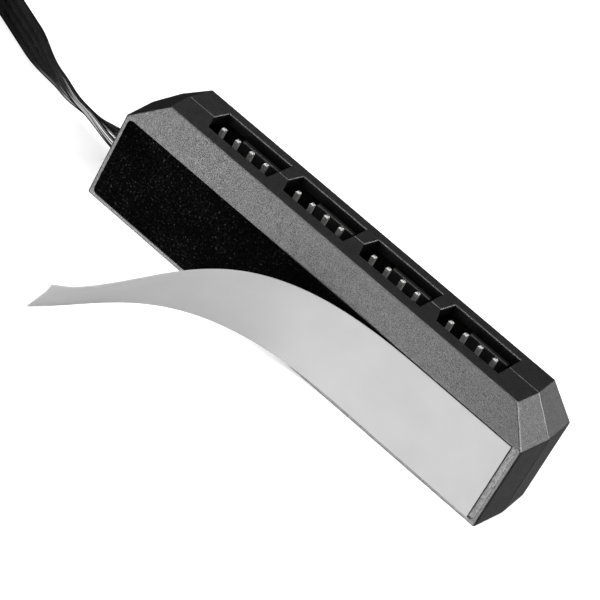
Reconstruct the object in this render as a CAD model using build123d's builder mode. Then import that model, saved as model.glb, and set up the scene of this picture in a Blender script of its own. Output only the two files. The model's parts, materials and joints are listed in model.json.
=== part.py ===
from build123d import *
import os
from math import tan, radians

# Four-port fan hub, in millimetres. X runs along the case, with the lead at the -X end. The sockets
# open upwards, the adhesive pad faces -Y, and the case stands on its bottom face at Z = 0.

# Case
end_margin = 7.92
case_thickness = 13.0
side_height = 13.5
crown_height = 4.5
end_inset = 4.5
side_inset = 1.6
end_draft = 0.5
wall = 1.5
edge_round = 0.3
parting_bevel = 0.12

# Recess for the adhesive pad, in the front face
recess_depth = 0.25
recess_rim = 0.65
recess_lip = 0.15
recess_corner = 0.7

# Socket openings, in the top face
socket_count = 4
socket_pitch = 13.54
opening_left = 6.2
opening_right = 5.55
opening_front = 2.65
opening_rear = 3.15
opening_front_slant = 1.05
opening_rear_slant = 0.45
opening_bevel = 0.12

# Pegs that line the two shells up
peg_radius = 0.9
peg_length = 2.6
peg_clearance = 0.1
boss_radius = 1.6
boss_height = 2.9

# Circuit board and the ledges that hold it
board_end_gap = 1.0
board_thickness = 1.6
board_bottom = 5.95
board_clearance = 0.1
board_corner = 0.5
pin_hole_radius = 0.5
ledge_width = 1.2
ledge_reach = 0.8
ledge_stop_height = 1.2

# Headers and pins
pin_count = 4
pin_pitch = 2.54
pin_size = 0.64
pin_chamfer = 0.18
pin_row_y = 0.2
pin_row_shift = -0.35
pin_tail = 1.8
pin_tip_depth = 0.4
header_length = 10.16
header_front = 2.5
header_rear = 3.3
header_base_height = 2.5
key_wall_front = 1.8
key_wall_thickness = 0.9
key_wall_start = 0.1
key_wall_drop = 0.85
key_wall_round = 0.3

# Adhesive pad and its liner
foam_thickness = 0.35
foam_end_gap = 0.85
foam_clearance = 0.05
liner_thickness = 0.15
liner_overhang = 1.3
peel_x = 18.0
peel_stations = 24
peel_bend_angles = (609.0, -741.0)
peel_twist_angles = (216.0, -221.0)
peel_lean_angles = (149.7, -233.5)

# Flat lead
wire_pitch = 1.25
wire_diameter = 1.2
wire_count = 4
ribbon_width = wire_count * wire_pitch
ribbon_thickness = wire_pitch
wire_reach = 3.5
entry_reach = 2.0
# steps of the lead from the case, and the share of its drop to the coil at each of them
lead_steps = [(0.0, 0.0), (-5.0, 0.0), (-10.2, 0.8), (-15.5, 2.6), (-21.5, 5.9), (-29.5, 10.6), (-37.5, 14.8)]
lead_drop_shares = [0, 0, 0, 0, 0.25, 0.7, 1]

# Coil of the put-away length, its tie, and the plug
coil_inner = 24.8
coil_outer = 29.2
coil_clearance = 0.02
tie_width = 3.0
tie_thickness = 0.3
tie_clearance = 0.06
tie_angle = 150.0
# steps of the tail from the middle of the coil to the back of the plug
tail_steps = [(-11.6, -21.15), (-6.6, -21.15), (-0.5, -18.5), (4.2, -13.8), (6.7, -7.7), (6.7, -2.9)]
plug_length = 12.7
plug_width = 10.1
plug_height = 5.6
plug_rib = 0.7
plug_rib_width = 1.2
plug_round = 0.3
terminal_size = 1.5
terminal_wall = 0.25
terminal_depth = 8.5
terminal_clearance = 0.05

# Worked out from the sizes above
case_length = socket_count * socket_pitch + 2 * end_margin
case_height = side_height + crown_height
front_depth = case_thickness / 2 - recess_depth - wall
rear_depth = case_thickness / 2 - wall
board_length = case_length - 2 * wall - 2 * board_end_gap
board_top = board_bottom + board_thickness
board_front = front_depth - board_clearance
board_rear = rear_depth - board_clearance
pin_tip = case_height - pin_tip_depth
recess_floor_y = -case_thickness / 2 + recess_depth
foam_face_y = recess_floor_y - foam_thickness
pad_bottom = recess_rim + foam_clearance
pad_top = side_height - recess_lip - foam_clearance
pad_left = -case_length / 2 + recess_rim + foam_clearance
pad_right = case_length / 2 - recess_rim - foam_end_gap
pad_width = pad_top - pad_bottom
wire_z = board_bottom - wire_diameter / 2
entry_x = -case_length / 2 + wall
lead_start_x = -case_length / 2 - end_draft - entry_reach
coil_bottom = tie_thickness
coil_z = coil_bottom + ribbon_width / 2
lead_drops = [(coil_z - wire_z) * share for share in lead_drop_shares]
lead_points = [(lead_start_x + dx, dy, wire_z + drop) for (dx, dy), drop in zip(lead_steps, lead_drops)]
lead_end = Vector(*lead_points[-1])
lead_heading = Vector(lead_end.X - lead_points[-2][0], lead_end.Y - lead_points[-2][1], 0).normalized()
coil_reach = coil_outer + ribbon_thickness / 2 + coil_clearance
coil_middle = lead_end + Vector(-lead_heading.Y, lead_heading.X, 0) * coil_reach
tail_points = [(coil_middle.X + dx, coil_middle.Y + dy, coil_z) for dx, dy in tail_steps]

socket_x = [(i - (socket_count - 1) / 2) * socket_pitch for i in range(socket_count)]
boss_x = [share * socket_count * socket_pitch / 2 for share in (-1, 0, 1)]
ledge_x = [x + 2 * ledge_width + boss_radius for x in boss_x]


def pin_offsets():
    """Places of the pins along a header, from its middle."""
    return [pin_row_shift + (i - (pin_count - 1) / 2) * pin_pitch for i in range(pin_count)]


def save(builder, name):
    """Labels a finished piece and writes it."""
    builder.part.label = name
    export_step(builder.part, f"parts/{name}.step")


def side_outline():
    """Side outline of the case, with the sloped ends of its crown."""
    half = case_length / 2
    return [
        (-half, 0),
        (half, 0),
        (half, side_height),
        (half - end_inset, case_height),
        (-half + end_inset, case_height),
        (-half, side_height),
    ]


def plan_outline(side):
    """Plan of one half of the case, longest on the parting plane."""
    half = case_length / 2
    return [
        (-half - end_draft, 0),
        (half + end_draft, 0),
        (half, side * case_thickness / 2),
        (-half, side * case_thickness / 2),
    ]


def end_wedge(end):
    """Section on the parting plane that the slope at one end of the crown takes off a shell."""
    face = end * (case_length / 2 + end_draft)
    return [
        (face, side_height),
        (face - end * end_inset, case_height),
        (face - end * end_inset, case_height + end_inset),
        (face + end * end_inset, case_height + end_inset),
        (face + end * end_inset, side_height),
    ]


def crown_wedge(side):
    """Section that the long slope of the crown takes off a shell, on the side given by its sign."""
    face = side * case_thickness / 2
    top = face - side * side_inset
    beyond = face + side * side_inset
    return [
        (face, side_height),
        (top, case_height),
        (top, case_height + side_inset),
        (beyond, case_height + side_inset),
        (beyond, side_height),
    ]


def opening_half(reach, slant):
    """Half of a socket opening on its side of the parting plane, slanted at its -X end."""
    return [
        (-opening_left + slant, reach),
        (opening_right, reach),
        (opening_right, 0),
        (-opening_left, 0),
    ]


def make_shell(side, depth, opening_reach, opening_slant):
    """One half of the case; side is -1 for the front half and 1 for the rear half."""
    parting = Plane.XZ
    with BuildPart() as shell:
        # block, drafted at its ends
        with BuildSketch(Plane.XY):
            Polygon(*plan_outline(side), align=None)
        extrude(amount=case_height)
        # slopes at the ends of the crown, with the same draft
        for end in (-1, 1):
            draft_line = Vector(-end * end_draft, side * case_thickness / 2, 0)
            with BuildSketch(parting):
                Polygon(*end_wedge(end), align=None)
            extrude(amount=draft_line.length, dir=draft_line.normalized(), mode=Mode.SUBTRACT)
        # long slope of the crown
        with BuildSketch(Plane.YZ):
            Polygon(*crown_wedge(side), align=None)
        extrude(amount=case_length, both=True, mode=Mode.SUBTRACT)
        # rounded outer edges, all but the ones on the parting plane
        fillet([e for e in shell.edges() if abs(e.center().Y) > edge_round], edge_round)
        # fine bevel that shows as the parting line
        parting_face = shell.faces().sort_by(lambda f: abs(f.center().Y))[0]
        chamfer(parting_face.edges(), parting_bevel)
        # cavity, shallower in the crown
        with BuildSketch(parting):
            Polygon(*side_outline(), align=None)
            offset(amount=-wall, kind=Kind.INTERSECTION, mode=Mode.REPLACE)
        extrude(amount=-side * (depth - side_inset), mode=Mode.SUBTRACT)
        with BuildSketch(parting):
            with Locations((0, (wall + side_height) / 2)):
                Rectangle(case_length - 2 * wall, side_height - wall)
        extrude(amount=-side * depth, mode=Mode.SUBTRACT)
        # socket openings
        with BuildSketch(Plane.XY.offset(case_height)):
            with Locations(*[(x, 0) for x in socket_x]):
                Polygon(*opening_half(side * opening_reach, opening_slant), align=None)
        extrude(amount=-2 * wall, mode=Mode.SUBTRACT)
        # fine bevel round the openings
        with BuildSketch(Plane.XY.offset(case_height)):
            with Locations(*[(x, 0) for x in socket_x]):
                Polygon(*opening_half(side * opening_reach, opening_slant), align=None)
            offset(amount=opening_bevel, kind=Kind.INTERSECTION, mode=Mode.REPLACE)
        extrude(amount=-opening_bevel, taper=45, mode=Mode.SUBTRACT)
        # bosses on the parting plane
        with BuildSketch(parting):
            with Locations(*[(x, boss_height) for x in boss_x]):
                Circle(boss_radius)
        extrude(amount=-side * depth)
        # ledges under the board and stops above it
        ledge_places = [(x, side * (depth - ledge_reach / 2)) for x in ledge_x]
        with BuildSketch(Plane.XY.offset(wall)):
            with Locations(*ledge_places):
                Rectangle(ledge_width, ledge_reach)
        extrude(amount=board_bottom - wall)
        with BuildSketch(Plane.XY.offset(board_top)):
            with Locations(*ledge_places):
                Rectangle(ledge_width, ledge_reach)
        extrude(amount=ledge_stop_height)
        # notch for the flat lead, through the -X end
        with BuildSketch(Plane.YZ.offset(entry_x)):
            with Locations((0, wire_z)):
                Rectangle(ribbon_width, ribbon_thickness)
        extrude(amount=-2 * wall, mode=Mode.SUBTRACT)
    return shell.part


front_half = make_shell(-1, front_depth, opening_front, opening_front_slant)
rear_half = make_shell(1, rear_depth, opening_rear, opening_rear_slant)

os.makedirs("parts", exist_ok=True)

# Front shell: recess for the adhesive pad, and pegs that cross the parting plane
with BuildPart() as front_shell:
    add(front_half)
    with BuildSketch(Plane.XZ.offset(case_thickness / 2)):
        with Locations((0, (recess_rim + side_height - recess_lip) / 2)):
            RectangleRounded(case_length - 2 * recess_rim, side_height - recess_lip - recess_rim, recess_corner)
    extrude(amount=-recess_depth, mode=Mode.SUBTRACT)
    with BuildSketch(Plane.XZ):
        with Locations(*[(x, boss_height) for x in boss_x]):
            Circle(peg_radius)
    extrude(amount=-peg_length)
save(front_shell, "front_shell")

# Rear shell: holes for the pegs
with BuildPart() as rear_shell:
    add(rear_half)
    with BuildSketch(Plane.XZ):
        with Locations(*[(x, boss_height) for x in boss_x]):
            Circle(peg_radius + peg_clearance)
    extrude(amount=-peg_length - peg_clearance, mode=Mode.SUBTRACT)
save(rear_shell, "rear_shell")

# Circuit board, drilled for the pins
with BuildPart() as circuit_board:
    with BuildSketch(Plane.XY.offset(board_bottom)):
        with Locations((0, (board_rear - board_front) / 2)):
            RectangleRounded(board_length, board_front + board_rear, board_corner)
        for x in socket_x:
            with Locations(*[(x + dx, pin_row_y) for dx in pin_offsets()]):
                Circle(pin_hole_radius, mode=Mode.SUBTRACT)
    extrude(amount=board_thickness)
save(circuit_board, "circuit_board")


def make_header(x):
    """Keyed header body: a base with square pin holes and a key wall behind three of the pins."""
    key_left = pin_offsets()[1] - key_wall_start
    key_right = pin_row_shift + header_length / 2
    key_y = pin_row_y + key_wall_front + key_wall_thickness / 2
    with BuildPart() as header:
        with BuildSketch(Plane.XY.offset(board_top)):
            with Locations((x + pin_row_shift, pin_row_y + (header_rear - header_front) / 2)):
                Rectangle(header_length, header_front + header_rear)
            with Locations(*[(x + dx, pin_row_y) for dx in pin_offsets()]):
                Rectangle(pin_size, pin_size, mode=Mode.SUBTRACT)
        extrude(amount=header_base_height)
        with BuildSketch(Plane.XY.offset(board_top + header_base_height)):
            with Locations((x + (key_left + key_right) / 2, key_y)):
                Rectangle(key_right - key_left, key_wall_thickness)
        extrude(amount=pin_tip - key_wall_drop - board_top - header_base_height)
        top_edges = header.faces().sort_by(Axis.Z)[-1].edges().filter_by(Axis.X)
        fillet(top_edges, key_wall_round)
    return header


def make_pin(x):
    """Square pin, chamfered at its tip and its tail."""
    with BuildPart() as pin:
        with BuildSketch(Plane.XY.offset(board_bottom - pin_tail)):
            with Locations((x, pin_row_y)):
                Rectangle(pin_size, pin_size)
        extrude(amount=pin_tip - board_bottom + pin_tail)
        ends = pin.faces().filter_by(Axis.Z)
        chamfer(ends.edges(), pin_chamfer)
    return pin


# Headers and their pins
for number, x in enumerate(socket_x, start=1):
    save(make_header(x), f"fan_header_{number}")
    for place, dx in enumerate(pin_offsets(), start=1):
        save(make_pin(x + dx), f"header_{number}_pin_{place}")

# Foam adhesive pad
with BuildPart() as foam_tape:
    with BuildSketch(Plane.XZ.offset(-recess_floor_y)):
        with Locations(((pad_left + pad_right) / 2, (pad_bottom + pad_top) / 2)):
            RectangleRounded(pad_right - pad_left, pad_width, recess_corner)
    extrude(amount=foam_thickness)
save(foam_tape, "foam_tape")


def rate(terms, share):
    """Turning rate at a share of the free length, in degrees over the whole of it."""
    return share * (terms[0] + terms[1] * share)


def liner_sections():
    """Section planes along the liner: flat on the foam, then bending out, twisting and leaning."""
    place = Vector(pad_right, foam_face_y - liner_thickness / 2, (pad_bottom + pad_top) / 2)
    run = Vector(-1, 0, 0)
    across = Vector(0, 0, 1)
    planes = [Plane(place, x_dir=across, z_dir=run)]
    place = Vector(peel_x, place.Y, place.Z)
    planes.append(Plane(place, x_dir=across, z_dir=run))
    step = (peel_x - pad_left + liner_overhang) / peel_stations
    for i in range(peel_stations):
        share = (i + 0.5) / peel_stations
        bend = rate(peel_bend_angles, share) / peel_stations / 2
        twist = rate(peel_twist_angles, share) / peel_stations / 2
        lean = rate(peel_lean_angles, share) / peel_stations / 2
        for half_step in (step, 0):
            run = run.rotate(Axis((0, 0, 0), across), bend)
            across = across.rotate(Axis((0, 0, 0), run), -twist)
            outward = across.cross(run)
            run = run.rotate(Axis((0, 0, 0), outward), -lean)
            across = across.rotate(Axis((0, 0, 0), outward), -lean)
            place = place + run * half_step
        planes.append(Plane(place, x_dir=across, z_dir=run))
    return planes


# Release liner, one strip of even width
with BuildPart() as release_liner:
    for section in liner_sections():
        with BuildSketch(section):
            Rectangle(pad_width, liner_thickness)
    loft(ruled=True)
save(release_liner, "release_liner")

# Flat lead through the end of the case, and its wire ends under the board
with BuildPart() as cable_entry:
    with BuildSketch(Plane.YZ.offset(lead_start_x)):
        with Locations((0, wire_z)):
            SlotOverall(ribbon_width, ribbon_thickness)
    extrude(amount=entry_x - lead_start_x)
save(cable_entry, "cable_entry")

for number in range(1, wire_count + 1):
    wire_y = (number - (wire_count + 1) / 2) * wire_pitch
    with BuildPart() as inner_wire:
        with BuildSketch(Plane.YZ.offset(entry_x)):
            with Locations((wire_y, wire_z)):
                Circle(wire_diameter / 2)
        extrude(amount=wire_reach)
    save(inner_wire, f"inner_wire_{number}")


def corner_radii(points):
    """Largest even radius at each corner: 0.45 of the shorter run over the tangent of half the turn."""
    radii = []
    spots = [Vector(*point) for point in points]
    for before, corner, after in zip(spots, spots[1:], spots[2:]):
        turn = (corner - before).get_angle(after - corner)
        shorter = min((corner - before).length, (after - corner).length)
        radii.append(0.45 * shorter / tan(radians(turn / 2)))
    return radii


def make_ribbon(points):
    """Flat lead standing on its edge, along runs joined by arcs."""
    radii = corner_radii(points)
    print("ribbon radii", [round(radius, 1) for radius in radii])
    start = Vector(*points[0])
    heading = Vector(*points[1]) - start
    with BuildPart() as ribbon:
        with BuildLine() as route:
            FilletPolyline(*points, radius=radii)
        with BuildSketch(Plane(start, x_dir=Vector(0, 0, 1), z_dir=heading)) as outline:
            Rectangle(ribbon_width, ribbon_thickness)
        sweep(path=route.wires()[0])
    ideal = outline.sketch.area * route.wires()[0].length
    print("ribbon volume", round(ribbon.part.volume, 1), "section times length", round(ideal, 1))
    return ribbon


save(make_ribbon(lead_points), "cable_lead")
save(make_ribbon(tail_points), "cable_tail")

# Coil of the put-away lead, as one ring
with BuildPart() as cable_coil:
    with BuildSketch(Plane.XY.offset(coil_bottom)):
        with Locations((coil_middle.X, coil_middle.Y)):
            Circle(coil_outer)
            Circle(coil_inner, mode=Mode.SUBTRACT)
    extrude(amount=ribbon_width)
save(cable_coil, "cable_coil")

# Tie round the coil
tie_middle = (coil_inner + coil_outer) / 2
tie_inner = (coil_outer - coil_inner + 2 * tie_clearance, ribbon_width)
tie_out = Vector(1, 0, 0).rotate(Axis.Z, tie_angle)
tie_spot = Vector(coil_middle.X, coil_middle.Y, coil_z) + tie_out * tie_middle
tie_plane = Plane(tie_spot, x_dir=tie_out, z_dir=Vector(0, 1, 0).rotate(Axis.Z, tie_angle))
with BuildPart() as coil_tie:
    with BuildSketch(tie_plane):
        RectangleRounded(tie_inner[0] + 2 * tie_thickness, tie_inner[1] + 2 * tie_thickness, tie_thickness)
        Rectangle(*tie_inner, mode=Mode.SUBTRACT)
    extrude(amount=tie_width / 2, both=True)
save(coil_tie, "coil_tie")

# Plug housing, lying on its plain side with its keying ribs up, and open at both ends of each cavity
plug_end = Vector(*tail_points[-1])
plug_back = Plane(Vector(plug_end.X, plug_end.Y, 0), x_dir=(-1, 0, 0), z_dir=(0, 1, 0))
cavity_places = [((i - (wire_count - 1) / 2) * pin_pitch, plug_height / 2) for i in range(wire_count)]
cavity_size = terminal_size + 2 * terminal_clearance
with BuildPart() as plug_housing:
    with BuildSketch(plug_back):
        with Locations((0, plug_height / 2)):
            RectangleRounded(plug_width, plug_height, plug_round)
        with Locations((-pin_pitch, plug_height + plug_rib / 2), (pin_pitch, plug_height + plug_rib / 2)):
            Rectangle(plug_rib_width, plug_rib)
    extrude(amount=plug_length)
    with BuildSketch(plug_back.offset(plug_length)):
        with Locations(*cavity_places):
            Rectangle(cavity_size, cavity_size)
    extrude(amount=-terminal_depth, mode=Mode.SUBTRACT)
save(plug_housing, "plug_housing")

# Box terminals in the plug's cavities
for number, spot in enumerate(cavity_places, start=1):
    with BuildPart() as plug_terminal:
        with BuildSketch(plug_back.offset(plug_length - terminal_depth)):
            with Locations(spot):
                Rectangle(terminal_size, terminal_size)
                Rectangle(terminal_size - 2 * terminal_wall, terminal_size - 2 * terminal_wall, mode=Mode.SUBTRACT)
        extrude(amount=terminal_depth - pin_size)
    save(plug_terminal, f"plug_terminal_{number}")
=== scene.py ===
import json
import math

import bpy
from mathutils import Matrix, Vector


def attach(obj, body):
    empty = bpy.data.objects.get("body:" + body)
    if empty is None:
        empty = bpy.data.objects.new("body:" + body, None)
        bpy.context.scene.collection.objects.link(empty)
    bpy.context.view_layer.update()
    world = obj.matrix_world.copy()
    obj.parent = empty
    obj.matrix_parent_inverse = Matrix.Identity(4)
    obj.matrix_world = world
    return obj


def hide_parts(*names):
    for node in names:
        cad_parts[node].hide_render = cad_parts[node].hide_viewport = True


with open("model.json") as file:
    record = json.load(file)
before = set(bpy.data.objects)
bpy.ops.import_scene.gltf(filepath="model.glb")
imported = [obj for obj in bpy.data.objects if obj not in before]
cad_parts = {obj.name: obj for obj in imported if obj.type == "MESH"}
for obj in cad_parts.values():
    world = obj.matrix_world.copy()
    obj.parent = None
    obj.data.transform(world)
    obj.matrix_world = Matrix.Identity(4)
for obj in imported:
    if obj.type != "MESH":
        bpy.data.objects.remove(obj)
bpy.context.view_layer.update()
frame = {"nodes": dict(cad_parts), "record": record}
nodes = frame["nodes"]
scene = bpy.context.scene
MM = 0.001


# Camera, at the photograph's viewing angle, with its place in millimetres
CAMERA_PLACE = Vector((119.5753, -341.7788, 236.4387))
CAMERA_FORWARD = Vector((-0.285160, 0.793409, -0.537760))
CAMERA_UP = Vector((-0.625810, 0.270837, 0.731443))
VIEW_ANGLE = 10.54
SENSOR = 36.0


def make_camera():
    forward = CAMERA_FORWARD
    right = forward.cross(CAMERA_UP).normalized()
    up = right.cross(forward).normalized()
    data = bpy.data.cameras.new("camera")
    data.sensor_width = SENSOR
    data.lens = SENSOR / 2 / math.tan(math.radians(VIEW_ANGLE / 2))
    data.clip_start = 0.01
    data.clip_end = 50.0
    camera = bpy.data.objects.new("camera", data)
    rotation = Matrix((right, up, -forward)).transposed().to_4x4()
    camera.matrix_world = Matrix.Translation(CAMERA_PLACE * MM) @ rotation
    scene.collection.objects.link(camera)
    scene.camera = camera


make_camera()


# Materials
def material(name, rough, metal=0.0, specular=0.5):
    made = bpy.data.materials.new(name)
    made.use_nodes = True
    shader = made.node_tree.nodes["Principled BSDF"]
    shader.inputs["Roughness"].default_value = rough
    shader.inputs["Metallic"].default_value = metal
    shader.inputs["Specular IOR Level"].default_value = specular
    return made, made.node_tree, shader


def noise(tree, scale, detail=2.0, rough=0.5, stretch=(1, 1, 1)):
    place = tree.nodes.new("ShaderNodeTexCoord")
    mapping = tree.nodes.new("ShaderNodeMapping")
    mapping.inputs["Scale"].default_value = stretch
    texture = tree.nodes.new("ShaderNodeTexNoise")
    texture.inputs["Scale"].default_value = scale
    texture.inputs["Detail"].default_value = detail
    texture.inputs["Roughness"].default_value = rough
    tree.links.new(place.outputs["Object"], mapping.inputs["Vector"])
    tree.links.new(mapping.outputs["Vector"], texture.inputs["Vector"])
    return texture.outputs["Fac"]


def ramp(tree, value, stops):
    node = tree.nodes.new("ShaderNodeValToRGB")
    while len(node.color_ramp.elements) < len(stops):
        node.color_ramp.elements.new(0.5)
    for element, (at, colour) in zip(node.color_ramp.elements, stops):
        element.position = at
        element.color = (*colour, 1.0)
    tree.links.new(value, node.inputs["Fac"])
    return node.outputs["Color"]


def remap(tree, value, low, high, to_low, to_high):
    node = tree.nodes.new("ShaderNodeMapRange")
    node.inputs["From Min"].default_value = low
    node.inputs["From Max"].default_value = high
    node.inputs["To Min"].default_value = to_low
    node.inputs["To Max"].default_value = to_high
    tree.links.new(value, node.inputs["Value"])
    return node.outputs["Result"]


def bump(tree, shader, height, strength, distance, rounding=0.0):
    node = tree.nodes.new("ShaderNodeBump")
    node.inputs["Strength"].default_value = strength
    node.inputs["Distance"].default_value = distance
    tree.links.new(height, node.inputs["Height"])
    if rounding:
        edge = tree.nodes.new("ShaderNodeBevel")
        edge.samples = 6
        edge.inputs["Radius"].default_value = rounding * MM
        tree.links.new(edge.outputs["Normal"], node.inputs["Normal"])
    tree.links.new(node.outputs["Normal"], shader.inputs["Normal"])


def openness(tree, reach, low, high):
    """Zero deep inside a hollow, one on an open face."""
    node = tree.nodes.new("ShaderNodeAmbientOcclusion")
    node.samples = 6
    node.inputs["Distance"].default_value = reach * MM
    return remap(tree, node.outputs["AO"], low, high, 0.0, 1.0)


def facing(tree, direction, low, high):
    """One where the surface looks in a direction, zero where it looks elsewhere."""
    face = tree.nodes.new("ShaderNodeNewGeometry")
    dot = tree.nodes.new("ShaderNodeVectorMath")
    dot.operation = "DOT_PRODUCT"
    dot.inputs[1].default_value = Vector(direction).normalized()
    tree.links.new(face.outputs["Normal"], dot.inputs[0])
    return remap(tree, dot.outputs["Value"], low, high, 0.0, 1.0)


def combined(tree, operation, first, second):
    node = tree.nodes.new("ShaderNodeMath")
    node.operation = operation
    tree.links.new(first, node.inputs[0])
    tree.links.new(second, node.inputs[1])
    return node.outputs["Value"]


def scaled(tree, colour, value):
    node = tree.nodes.new("ShaderNodeVectorMath")
    node.operation = "SCALE"
    tree.links.new(colour, node.inputs[0])
    tree.links.new(value, node.inputs["Scale"])
    return node.outputs["Vector"]


def grey(value, warm=0.0):
    return (value * (1 + warm), value, value * (1 - warm))


def grained_plastic(name, dark, light, rough, grain, depth, specular, rounding=0.12):
    made, tree, shader = material(name, rough, specular=specular)
    colour = ramp(tree, noise(tree, 900, 3), [(0.35, grey(dark)), (0.65, grey(light))])
    tree.links.new(colour, shader.inputs["Base Color"])
    uneven = remap(tree, noise(tree, 1600, 2), 0.3, 0.7, rough - 0.04, rough + 0.04)
    tree.links.new(uneven, shader.inputs["Roughness"])
    bump(tree, shader, noise(tree, grain, 1), depth, 0.00004, rounding)
    return made, tree, shader, colour


# Edges of the zones kept out of the painted hollow shade, in metres, and the direction a face must look in to
# get the painted corner highlight
FRONT_ZONE = (-0.0054, -0.0056)
END_ZONE = (0.0308, 0.0312)
PAINTED_HIGHLIGHT_FACING = (0.537, -0.480, 0.693)


def make_case_plastic():
    """Fine spark texture outside; painted shade darkens the walls inside the openings, and painted highlights
    raise the reflection at grooves and one corner.
    """
    made, tree, shader, colour = grained_plastic("case_plastic", 0.011, 0.015, 0.40, 6600, 0.8, 0.85)
    place = tree.nodes.new("ShaderNodeTexCoord")
    split = tree.nodes.new("ShaderNodeSeparateXYZ")
    tree.links.new(place.outputs["Object"], split.inputs[0])
    # the front face with its recess, and the sloping right end, are kept out of the painted hollow shade
    outer = remap(tree, split.outputs["Y"], *FRONT_ZONE, 0.0, 1.0)
    # painted shade: within the front zone, a thin dark line at the foot of the recess wall, from ambient
    # occlusion
    recess = combined(tree, "MULTIPLY", outer, openness(tree, 0.3, 0.62, 0.92))
    end = remap(tree, split.outputs["X"], *END_ZONE, 0.0, 1.0)
    outside = combined(tree, "MAXIMUM", recess, end)
    # clear is the painted hollow shade mask from ambient occlusion: zero deep in the openings
    clear = combined(tree, "MAXIMUM", openness(tree, 7, 0.62, 0.94), outside)
    # painted shade: the base colour falls to 0.15 of itself in the openings
    tree.links.new(scaled(tree, colour, remap(tree, clear, 0, 1, 0.15, 1.0)), shader.inputs["Base Color"])
    # painted shade also lowers the reflection level in the openings; shine varies it at random
    shine = remap(tree, noise(tree, 7600, 1, 0.6), 0.3, 0.7, 0.45, 1.55)
    level = combined(tree, "MULTIPLY", remap(tree, clear, 0, 1, 0.05, 0.85), shine)
    # painted highlights, fitted to the bright lines in the photo: the grooves, and the corner between two
    # slopes, get a higher reflection level
    groove_painted_highlight = remap(tree, openness(tree, 0.6, 0.70, 0.95), 0, 1, 1.9, 1.0)
    corner_painted_highlight = remap(tree, facing(tree, PAINTED_HIGHLIGHT_FACING, 0.90, 0.955), 0, 1, 1.0, 2.7)
    # painted highlight: the reflection level is raised by the larger of the groove and corner masks
    level = combined(tree, "MULTIPLY", level, combined(tree, "MAXIMUM", groove_painted_highlight, corner_painted_highlight))
    tree.links.new(level, shader.inputs["Specular IOR Level"])
    return made


case_plastic = make_case_plastic()
connector_plastic = grained_plastic("connector_plastic", 0.008, 0.012, 0.36, 3000, 0.12, 0.25)[0]
tie_plastic = grained_plastic("tie_plastic", 0.02, 0.03, 0.45, 2500, 0.15, 0.5)[0]


def make_foam():
    made, tree, shader = material("foam", 0.9, specular=0.03)
    specks = ramp(
        tree,
        noise(tree, 2900, 3, 0.7),
        [(0.46, grey(0.0004)), (0.60, grey(0.003)), (0.68, grey(0.025)), (0.78, grey(0.085))],
    )
    patches = remap(tree, noise(tree, 110, 3, 0.6), 0.38, 0.62, 0.3, 1.5)
    tree.links.new(scaled(tree, specks, patches), shader.inputs["Base Color"])
    bump(tree, shader, noise(tree, 2400, 4, 0.6), 0.8, 0.0001)
    return made


def make_paper():
    made, tree, shader = material("liner", 0.5, specular=0.1)
    colour = ramp(tree, noise(tree, 160, 4), [(0.3, grey(0.37)), (0.7, grey(0.40))])
    tree.links.new(colour, shader.inputs["Base Color"])
    bump(tree, shader, noise(tree, 260, 3), 0.06, 0.00005)
    return made


def make_metal():
    made, tree, shader = material("tinned_pin", 0.45, metal=0.88)
    colour = ramp(tree, noise(tree, 1200, 2), [(0.3, (0.38, 0.377, 0.37)), (0.7, (0.52, 0.515, 0.505))])
    tree.links.new(colour, shader.inputs["Base Color"])
    tree.links.new(remap(tree, noise(tree, 2400, 2), 0.3, 0.7, 0.5, 0.64), shader.inputs["Roughness"])
    return made


def make_insulation():
    made, tree, shader = material("insulation", 0.1, specular=1.0)
    colour = ramp(tree, noise(tree, 500, 3), [(0.3, grey(0.012)), (0.7, grey(0.02))])
    tree.links.new(colour, shader.inputs["Base Color"])
    bump(tree, shader, noise(tree, 700, 1), 0.01, 0.00003)
    return made


def make_board():
    made, tree, shader = material("board", 0.4)
    colour = ramp(tree, noise(tree, 300, 3), [(0.3, (0.006, 0.035, 0.015)), (0.7, (0.01, 0.05, 0.022))])
    tree.links.new(colour, shader.inputs["Base Color"])
    return made


foam = make_foam()
paper = make_paper()
tinned = make_metal()
insulation = make_insulation()
board = make_board()

looks = {
    "case_plastic": case_plastic,
    "connector_plastic": connector_plastic,
    "foam": foam,
    "liner": paper,
    "board": board,
    "cable": insulation,
    "tie": tie_plastic,
    "pin": tinned,
    "terminal": tinned,
}
for entry in frame["record"]["subparts"]:
    mesh = nodes[entry["node"]].data
    mesh.materials.clear()
    mesh.materials.append(looks[entry["material_slot"]])


# Fine rounding on the moulded edges
def soften(name, width, segments=2, angle=35.0):
    modifier = nodes[name].modifiers.new("edge", "BEVEL")
    modifier.width = width * MM
    modifier.segments = segments
    modifier.limit_method = "ANGLE"
    modifier.angle_limit = math.radians(angle)
    modifier.use_clamp_overlap = True
    modifier.miter_outer = "MITER_ARC"


soften("plug_housing", 0.15)
for number in range(1, 5):
    soften(f"fan_header_{number}", 0.1)


def mesh_piece(name, points, faces, look, smooth=True):
    mesh = bpy.data.meshes.new(name)
    mesh.from_pydata([tuple(p) for p in points], [], faces)
    mesh.materials.append(look)
    mesh.update()
    if smooth:
        mesh.polygons.foreach_set("use_smooth", [True] * len(mesh.polygons))
    made = bpy.data.objects.new(name, mesh)
    scene.collection.objects.link(made)
    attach(made, "root")
    return made


# Flat lead: one spline from inside the case, along the lead, round the coil and to the plug
WIRE_PITCH = 1.25
WIRE_RADIUS = 0.615
WIRE_Z = 5.35
WIRE_X = -33.6
ENTRY_X = -35.6
LEAD_X = -37.5
COIL_Z = 2.8
COIL_OUTER = 29.2
COIL_CLEARANCE = 0.02
COIL_STEP = 22.5
COIL_SETTLED = 67.5
COIL_END = 530.0
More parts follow.
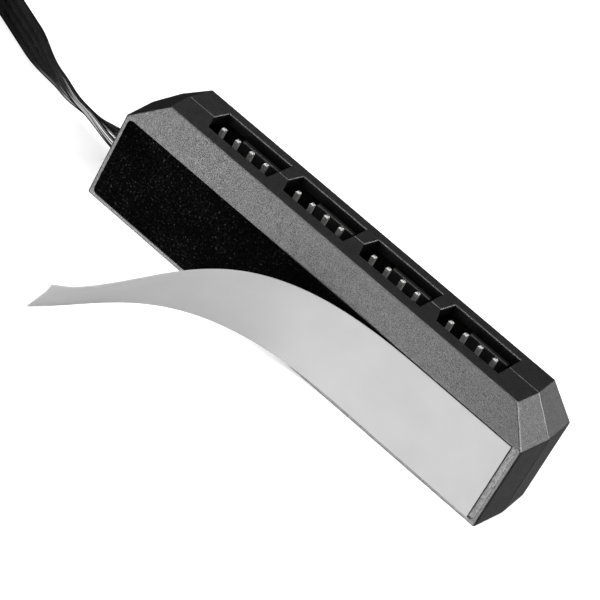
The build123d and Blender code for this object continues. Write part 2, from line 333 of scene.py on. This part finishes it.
# radius of the control points at the start, once settled and at the end, which lie outside the curve
COIL_RADII = (29.8, 28.7, 25.6)
COIL_OUTSIDE = 1.013
lead_steps = [(0.0, 0.0), (-5.0, 0.0), (-10.2, 0.8), (-15.5, 2.6), (-21.5, 5.9), (-29.5, 10.6), (-37.5, 14.8)]
lead_shares = [0, 0, 0, 0, 0.25, 0.7, 1]
tail_steps = [(-11.6, -21.15), (-6.6, -21.15), (-0.5, -18.5), (4.2, -13.8), (6.7, -7.7), (6.7, -2.9)]


def lead_route():
    route = [Vector((WIRE_X, 0.0, WIRE_Z)), Vector((ENTRY_X, 0.0, WIRE_Z))]
    for (dx, dy), share in zip(lead_steps, lead_shares):
        route.append(Vector((LEAD_X + dx, dy, WIRE_Z + (COIL_Z - WIRE_Z) * share)))
    heading = (route[-1] - route[-2]).to_2d().normalized()
    reach = COIL_OUTER + WIRE_PITCH / 2 + COIL_CLEARANCE
    middle = Vector((route[-1].x - heading.y * reach, route[-1].y + heading.x * reach, COIL_Z))
    start = math.degrees(math.atan2(route[-1].y - middle.y, route[-1].x - middle.x))
    first, settled, last = COIL_RADII
    turned = COIL_STEP
    while turned < COIL_END:
        if turned < COIL_SETTLED:
            radius = first + (settled - first) * turned / COIL_SETTLED
        else:
            radius = settled + (last - settled) * (turned - COIL_SETTLED) / (COIL_END - COIL_SETTLED)
        angle = math.radians(start + turned)
        route.append(middle + Vector((math.cos(angle), math.sin(angle), 0)) * radius * COIL_OUTSIDE)
        turned += COIL_STEP
    for dx, dy in tail_steps:
        route.append(Vector((middle.x + dx, middle.y + dy, COIL_Z)))
    return route


def spline_points(route):
    curve = bpy.data.curves.new("lead_route", "CURVE")
    curve.dimensions = "3D"
    spline = curve.splines.new("NURBS")
    spline.points.add(len(route) - 1)
    for point, place in zip(spline.points, route):
        point.co = (*(place * MM), 1.0)
    spline.order_u = 3
    spline.use_endpoint_u = True
    spline.resolution_u = 8
    holder = bpy.data.objects.new("lead_route", curve)
    scene.collection.objects.link(holder)
    bpy.context.view_layer.update()
    line = bpy.data.meshes.new_from_object(holder)
    found = [v.co.copy() for v in line.vertices]
    bpy.data.objects.remove(holder)
    bpy.data.meshes.remove(line)
    return found


def ribbon_outline():
    """Section of the lead: four round wires side by side, as (across, out) in millimetres."""
    points, groove = 8, 12
    outline = []
    for side in (1, -1):
        for i in range(4):
            middle = (i - 1.5) * WIRE_PITCH * side
            low = 0 if i == 3 else groove
            high = 180 if i == 0 else 180 - groove
            for k in range(points + 1):
                angle = math.radians(high + (low - high) * k / points)
                across, out = WIRE_RADIUS * math.cos(angle), WIRE_RADIUS * math.sin(angle)
                outline.append((middle + side * across, side * out))
    return outline


def eased(at, stops):
    """Value at a distance along the lead, eased between the stops."""
    for (a, va), (b, vb) in zip(stops, stops[1:]):
        if at <= b:
            share = max(0.0, (at - a) / (b - a))
            return va + (vb - va) * share * share * (3 - 2 * share)
    return stops[-1][1]


def make_lead():
    path = spline_points(lead_route())
    along = [0.0]
    for a, b in zip(path, path[1:]):
        along.append(along[-1] + (b - a).length / MM)
    total = along[-1]
    outline = ribbon_outline()
    # turn of the lead about its own line, in degrees at millimetres along it
    stops = [(0, 0), (2, 0), (10, -36), (16, -54), (26, -90), (total - 17, -90), (total - 2, 0), (total, 0)]
    points, faces = [], []
    for i, place in enumerate(path):
        heading = (path[min(i + 1, len(path) - 1)] - path[max(i - 1, 0)]).normalized()
        flat = heading.cross(Vector((0, 0, 1))).normalized()
        rise = flat.cross(heading).normalized()
        turn = math.radians(eased(along[i], stops))
        across = flat * math.cos(turn) + rise * math.sin(turn)
        out = heading.cross(across)
        for a, b in outline:
            points.append(place + (across * a + out * b) * MM)
    n = len(outline)
    for i in range(len(path) - 1):
        for k in range(n):
            a, b = i * n + k, i * n + (k + 1) % n
            faces.append((a, b, b + n, a + n))
    faces.append(tuple(reversed(range(n))))
    faces.append(tuple(range(len(points) - n, len(points))))
    lead = mesh_piece("ribbon_lead", points, faces, insulation)
    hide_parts("cable_entry", "cable_lead", "cable_coil", "cable_tail")


make_lead()


# Release liner: flat on the foam, then bending out, twisting and leaning
LINER_WIDTH = 12.6
LINER_THICKNESS = 0.15
LINER_OVERHANG = 1.3
PAD_LEFT = -34.3
PAD_RIGHT = 33.5
PAD_MIDDLE_Z = 7.0
PAD_FACE_Y = -6.6
PEEL_X = 18.0
PEEL_BEND = (609.0, -741.0)
PEEL_TWIST = (216.0, -221.0)
PEEL_LEAN = (149.7, -233.5)
CORNER_REACH = 2.4
CORNER_SLANT = 0.8
CORNER_LIFT = 0.14


def liner_frames(steps):
    place = Vector((PAD_RIGHT, PAD_FACE_Y - LINER_THICKNESS / 2, PAD_MIDDLE_Z))
    run, across = Vector((-1, 0, 0)), Vector((0, 0, 1))
    flat_steps = 8
    frames = []
    for k in range(flat_steps + 1):
        frames.append((place + run * (PAD_RIGHT - PEEL_X) * k / flat_steps, run.copy(), across.copy()))
    place = frames[-1][0].copy()
    step = (PEEL_X - PAD_LEFT + LINER_OVERHANG) / steps
    for i in range(steps):
        share = (i + 0.5) / steps
        bend, twist, lean = (
            math.radians(share * (first + second * share)) / steps / 2
            for first, second in (PEEL_BEND, PEEL_TWIST, PEEL_LEAN)
        )
        for move in (step, 0):
            run = Matrix.Rotation(bend, 3, across) @ run
            across = Matrix.Rotation(-twist, 3, run) @ across
            outward = across.cross(run)
            turn = Matrix.Rotation(-lean, 3, outward)
            run, across = turn @ run, turn @ across
            place = place + run * move
        frames.append((place.copy(), run.copy(), across.copy()))
    return frames


def make_liner():
    frames = liner_frames(96)
    cells = 20
    points, faces = [], []
    for place, run, across in frames:
        out = across.cross(run).normalized()
        from_end = (frames[-1][0] - place).length
        for face in (1, -1):
            for k in range(cells + 1):
                # the upper corner of the free end is turned up a little
                turned = max(0.0, CORNER_REACH - from_end - CORNER_SLANT * LINER_WIDTH * (1 - k / cells))
                lift = face * LINER_THICKNESS / 2 - CORNER_LIFT * turned
                points.append((place + across * LINER_WIDTH * (k / cells - 0.5) + out * lift) * MM)
    row = 2 * (cells + 1)
    for i in range(len(frames) - 1):
        for face in (0, 1):
            for k in range(cells):
                a = i * row + face * (cells + 1) + k
                quad = (a, a + 1, a + 1 + row, a + row)
                faces.append(quad if face == 0 else tuple(reversed(quad)))
        for k, flip in ((0, False), (cells, True)):
            a, b = i * row + k, i * row + cells + 1 + k
            quad = (b, a, a + row, b + row)
            faces.append(tuple(reversed(quad)) if flip else quad)
    for i, flip in ((0, False), (len(frames) - 1, True)):
        for k in range(cells):
            a, b = i * row + k, i * row + cells + 1 + k
            quad = (a, b, b + 1, a + 1)
            faces.append(tuple(reversed(quad)) if flip else quad)
    liner = mesh_piece("liner_strip", points, faces, paper)
    liner.data.set_sharp_from_angle(angle=math.radians(40))
    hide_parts("release_liner")


make_liner()


# Floor and light, in metres
FLOOR_REACH = 6.0
LAMP_DISTANCE = 0.7
LAMP_AIM = Vector((0, 0, 0.009))


def make_floor():
    made, tree, shader = material("floor", 0.9, specular=0.1)
    colour = ramp(tree, noise(tree, 3.0, 2), [(0.3, grey(0.88)), (0.7, grey(0.9))])
    tree.links.new(colour, shader.inputs["Base Color"])
    tree.links.new(colour, shader.inputs["Emission Color"])
    shader.inputs["Emission Strength"].default_value = 0.55
    mesh = bpy.data.meshes.new("floor")
    corners = [(x * FLOOR_REACH, y * FLOOR_REACH, 0) for x, y in ((-1, -1), (1, -1), (1, 1), (-1, 1))]
    mesh.from_pydata(corners, [], [(0, 1, 2, 3)])
    mesh.materials.append(made)
    floor = bpy.data.objects.new("floor", mesh)
    scene.collection.objects.link(floor)
    floor.visible_glossy = False


def softbox(name, direction, size, power):
    data = bpy.data.lights.new(name, "AREA")
    data.shape = "DISK"
    data.size = size
    data.energy = power
    lamp = bpy.data.objects.new(name, data)
    way = Vector(direction).normalized()
    lamp.location = LAMP_AIM + way * LAMP_DISTANCE
    lamp.rotation_mode = "QUATERNION"
    lamp.rotation_quaternion = way.to_track_quat("Z", "Y")
    scene.collection.objects.link(lamp)


def make_world(lobes):
    """Soft patches of light, each with its direction, inner and outer angle and strength."""
    world = bpy.data.worlds.new("studio")
    scene.world = world
    world.use_nodes = True
    tree = world.node_tree
    back = tree.nodes["Background"]
    place = tree.nodes.new("ShaderNodeTexCoord")
    total = None
    for direction, inner, outer, strength in lobes:
        way = Vector(direction).normalized()
        dot = tree.nodes.new("ShaderNodeVectorMath")
        dot.operation = "DOT_PRODUCT"
        dot.inputs[1].default_value = way
        tree.links.new(place.outputs["Generated"], dot.inputs[0])
        soft = tree.nodes.new("ShaderNodeMapRange")
        soft.interpolation_type = "SMOOTHSTEP"
        soft.inputs["From Min"].default_value = math.cos(math.radians(outer))
        soft.inputs["From Max"].default_value = math.cos(math.radians(inner))
        soft.inputs["To Min"].default_value = 0.0
        soft.inputs["To Max"].default_value = strength
        tree.links.new(dot.outputs["Value"], soft.inputs["Value"])
        patch = soft.outputs["Result"]
        total = combined(tree, "ADD", total, patch) if total else patch
    tree.links.new(total, back.inputs["Strength"])
    back.inputs["Color"].default_value = (1, 1, 1, 1)


make_floor()
make_world(
    [
        ((-0.28, -0.79, -0.54), 18, 38, 5.2),
        ((0.285, 0.793, -0.538), 5, 30, 0.24),
    ]
)
softbox("front", (-0.42, -0.885, 0.20), 0.3, 2.2)
softbox("right", (0.74, -0.34, 0.58), 0.4, 3.2)
softbox("top", (0, 0, 1), 0.6, 1.6)
softbox("key", (-0.28, -0.52, 0.80), 0.25, 2.0)
softbox("end", (0.62, 0.68, 0.40), 0.22, 1.35)
softbox("back", (-0.54, 0.79, 0.30), 0.2, 0.06)
scene.view_settings.view_transform = "Standard"
